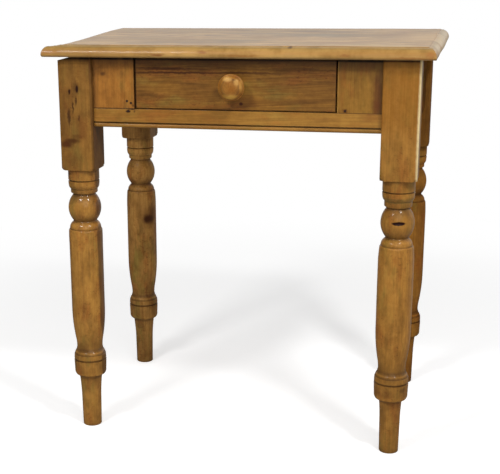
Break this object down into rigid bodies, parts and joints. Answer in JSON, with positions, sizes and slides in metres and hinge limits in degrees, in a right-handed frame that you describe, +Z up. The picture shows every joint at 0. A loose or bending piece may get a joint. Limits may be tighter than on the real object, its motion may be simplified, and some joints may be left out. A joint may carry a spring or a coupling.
{
  "type": "tavern table",
  "caption": "Small pine table on turned legs, with a thumb-moulded board top and a dovetailed drawer that slides out of the front by a turned knob.",
  "frame": {"origin": "on the floor under the middle of the table", "axes": "+Z up, the drawer front faces -Y, +X towards the right leg of the front as a viewer facing it sees it"},
  "size_m": [0.694, 0.4708, 0.736],
  "materials": {
    "waxed_pine": "antique pine, waxed to a warm golden brown",
    "scrubbed_pine_top": "antique pine, paler and worn, waxed to a soft sheen",
    "bare_pine": "unfinished old pine, dry and slightly dusty",
    "knob_pine": "turned pine, waxed, lighter than the drawer"
  },
  "bodies": {
    "table": {"leg_front_left": "waxed_pine", "leg_front_right": "waxed_pine", "leg_back_left": "waxed_pine", "leg_back_right": "waxed_pine", "side_apron_left": "waxed_pine", "side_apron_right": "waxed_pine", "back_apron": "waxed_pine", "front_bottom_rail": "waxed_pine", "front_stile_left": "waxed_pine", "front_stile_right": "waxed_pine", "drawer_runner_left": "bare_pine", "drawer_runner_right": "bare_pine", "drawer_guide_left": "bare_pine", "drawer_guide_right": "bare_pine", "drawer_stops": "bare_pine", "top_board_front": "scrubbed_pine_top", "top_board_middle": "scrubbed_pine_top", "top_board_back": "scrubbed_pine_top", "glue_blocks": "bare_pine"},
    "drawer": {"drawer_front": "waxed_pine", "drawer_side_left": "bare_pine", "drawer_side_right": "bare_pine", "drawer_back": "bare_pine", "drawer_bottom": "bare_pine", "drawer_knob": "knob_pine"}
  },
  "joints": [
    {"name": "drawer_slide", "type": "slide", "parent": "table", "child": "drawer", "axis": [0, -1, 0], "range_m": [0, 0.28]}
  ]
}
